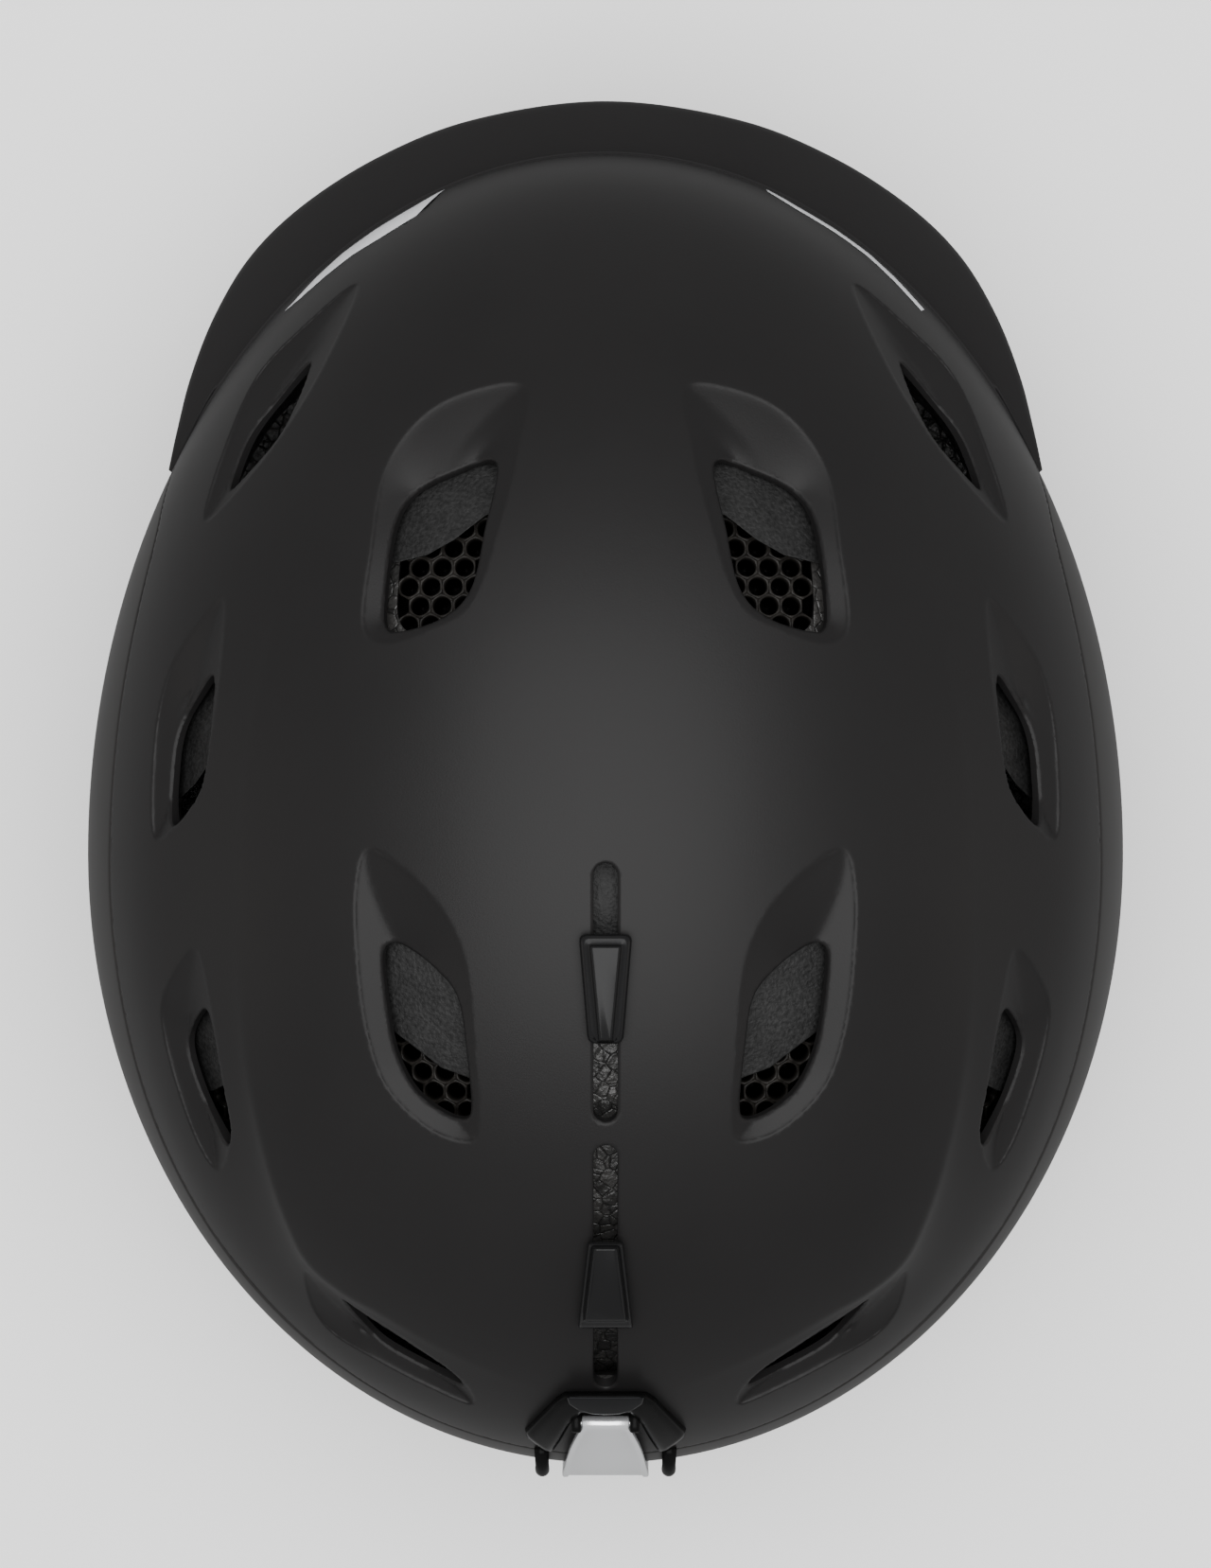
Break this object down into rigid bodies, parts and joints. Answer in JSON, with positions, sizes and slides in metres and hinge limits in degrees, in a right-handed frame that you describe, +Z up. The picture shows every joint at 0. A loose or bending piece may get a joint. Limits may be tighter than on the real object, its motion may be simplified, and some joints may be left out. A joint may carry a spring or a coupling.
{
  "type": "ski helmet",
  "caption": "Vented hard-shell ski helmet with a short brim, sliding vent shutters, foam liner, dial fit cradle, ear pads, goggle clip and buckled chin strap.",
  "frame": {"origin": "centre of the bounding box at the level of the table the ear pads stand on", "axes": "+Z up, -Y towards the brim (the wearer looks along -Y), +X towards the wearer's left"},
  "size_m": [0.218, 0.2901, 0.2046],
  "materials": {
    "shell": "soft-touch matte",
    "lower_skin": "satin in-moulded skin",
    "brim": "soft-touch matte",
    "accent": "matte pale inlay",
    "foam": "moulded bead foam",
    "core": "matte tube core",
    "shutter": "fine textured",
    "slider": "semi-gloss",
    "clip_plastic": "satin",
    "chrome": "satin chrome",
    "steel": "zinc plated",
    "comfort_fabric": "brushed knit",
    "ear_fabric": "softshell knit",
    "fleece": "fleece",
    "webbing": "woven nylon",
    "fit_plastic": "satin nylon",
    "dial_rubber": "soft rubber",
    "buckle_plastic": "satin acetal",
    "button_plastic": "satin"
  },
  "bodies": {
    "helmet": {"upper_shell": "shell", "lower_shell": "lower_skin", "accent_strip_left": "accent", "accent_strip_right": "accent", "brim": "brim", "eps_crown_front": "foam", "eps_crown_rear": "foam", "eps_skirt": "foam", "goggle_clip_base": "clip_plastic", "goggle_clip_pin": "steel", "goggle_clip_bar": "chrome", "crown_pad": "comfort_fabric", "side_pad_left": "comfort_fabric", "side_pad_right": "comfort_fabric", "brow_pad": "comfort_fabric", "nape_pad": "comfort_fabric", "fit_guide_left": "fit_plastic", "fit_guide_right": "fit_plastic", "tube_core_front_left": "core", "tube_core_front_right": "core", "tube_core_rear_left": "core", "tube_core_rear_right": "core", "tube_core_side_left": "core", "tube_core_side_right": "core", "ear_mount_left": "fit_plastic", "ear_hinge_left": "fit_plastic", "strap_front_left": "webbing", "strap_rear_left": "webbing", "strap_anchor_front_left": "fit_plastic", "strap_anchor_rear_left": "fit_plastic", "strap_divider_left": "buckle_plastic", "strap_rivet_left": "steel", "ear_mount_right": "fit_plastic", "ear_hinge_right": "fit_plastic", "strap_front_right": "webbing", "strap_rear_right": "webbing", "strap_anchor_front_right": "fit_plastic", "strap_anchor_rear_right": "fit_plastic", "strap_divider_right": "buckle_plastic", "strap_rivet_right": "steel"},
    "front_vent_slider": {"front_shutter": "shutter", "front_slider_knob": "slider", "front_slider_screw": "steel"},
    "rear_vent_slider": {"rear_shutter": "shutter", "rear_slider_knob": "slider", "rear_slider_screw": "steel"},
    "goggle_flap": {"goggle_clip_flap": "chrome"},
    "fit_cradle": {"fit_cradle": "fit_plastic", "cradle_pad": "comfort_fabric"},
    "fit_dial": {"fit_dial": "dial_rubber", "dial_cap": "fit_plastic"},
    "ear_pad_left": {"ear_pad_left": "ear_fabric"},
    "ear_pad_right": {"ear_pad_right": "ear_fabric"},
    "chin_strap": {"chin_webbing_left": "webbing", "chin_webbing_right": "webbing", "buckle_socket": "buckle_plastic", "buckle_tongue": "buckle_plastic", "chin_pad": "fleece", "strap_keeper": "dial_rubber"},
    "buckle_button": {"buckle_button": "button_plastic"}
  },
  "joints": [
    {"name": "front_vent_slide", "type": "hinge", "parent": "helmet", "child": "front_vent_slider", "pos_m": [0, 0.01, 0.03], "axis": [1, 0, 0], "range_deg": [-5, 4.7]},
    {"name": "rear_vent_slide", "type": "hinge", "parent": "helmet", "child": "rear_vent_slider", "pos_m": [0, 0.015, 0.06], "axis": [1, 0, 0], "range_deg": [-5, 8]},
    {"name": "goggle_flap_hinge", "type": "hinge", "parent": "helmet", "child": "goggle_flap", "pos_m": [0, 0.1294, 0.1449], "axis": [1, 0, 0], "range_deg": [0, 100]},
    {"name": "cradle_slide", "type": "slide", "parent": "helmet", "child": "fit_cradle", "axis": [0, -1, 0], "range_m": [0, 0.012]},
    {"name": "dial_turn", "type": "hinge", "parent": "fit_cradle", "child": "fit_dial", "pos_m": [0, 0.09, 0.069], "axis": [0, 1, 0], "range_deg": [0, 270]},
    {"name": "ear_pad_left_hinge", "type": "hinge", "parent": "helmet", "child": "ear_pad_left", "pos_m": [0.086, 0, 0.069], "axis": [0, -1, 0], "range_deg": [0, 25], "stiffness_Nm_per_rad": 0.8},
    {"name": "ear_pad_right_hinge", "type": "hinge", "parent": "helmet", "child": "ear_pad_right", "pos_m": [-0.086, 0, 0.069], "axis": [0, 1, 0], "range_deg": [0, 25], "stiffness_Nm_per_rad": 0.8},
    {"name": "chin_strap_swing", "type": "hinge", "parent": "helmet", "child": "chin_strap", "pos_m": [0, 0.006, 0.058], "axis": [1, 0, 0], "range_deg": [-70, 45]},
    {"name": "buckle_press", "type": "slide", "parent": "chin_strap", "child": "buckle_button", "axis": [0, 0, -1], "range_m": [0, 0.0015], "stiffness_N_per_m": 600}
  ],
  "couplings": [
    {"joint": "dial_turn", "follows": "cradle_slide", "rad_per_m": 392.7}
  ]
}
